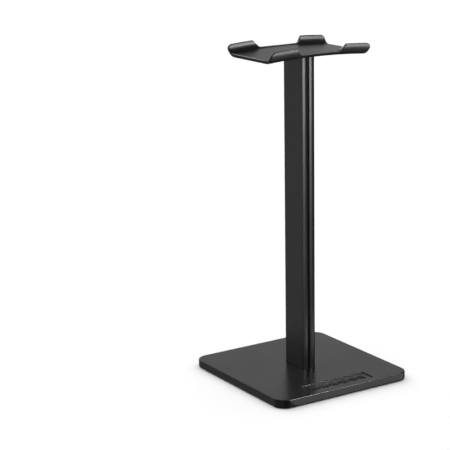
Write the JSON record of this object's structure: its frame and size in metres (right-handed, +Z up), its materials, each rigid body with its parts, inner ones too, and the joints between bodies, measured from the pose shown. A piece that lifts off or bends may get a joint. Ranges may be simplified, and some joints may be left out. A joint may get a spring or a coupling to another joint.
{
  "type": "headphone stand",
  "caption": "Desk headphone stand: thin square weighted base, tall flat column with ribbed edges, and an arched soft cradle whose corners curl up into tabs.",
  "frame": {"origin": "centre of the footprint, on the surface that the stand's feet rest on", "axes": "+Z up along the column; -Y is the front, where the base has its shallow recess; X runs along the headband"},
  "size_m": [0.122, 0.125, 0.264],
  "materials": {
    "base_abs": "satin moulded plastic, fine grain",
    "weight_steel": "bare pressed steel, lightly oiled",
    "bottom_abs": "matt moulded plastic, coarse grain",
    "foot_rubber": "matt rubber",
    "screw_zinc": "zinc plated",
    "column_aluminium": "satin black coated extrusion, fine lines along its length",
    "carrier_nylon": "matt glass-filled plastic",
    "headrest_tpu": "satin soft moulding, very fine grain"
  },
  "bodies": {
    "root": {"base_cover": "base_abs", "weight_plate": "weight_steel", "base_bottom": "bottom_abs", "foot_front_left": "foot_rubber", "foot_front_right": "foot_rubber", "foot_rear_left": "foot_rubber", "foot_rear_right": "foot_rubber", "cover_screws": "screw_zinc", "column": "column_aluminium", "column_screws": "screw_zinc", "headrest_carrier": "carrier_nylon", "carrier_screws": "screw_zinc", "headrest": "headrest_tpu"}
  },
  "joints": []
}
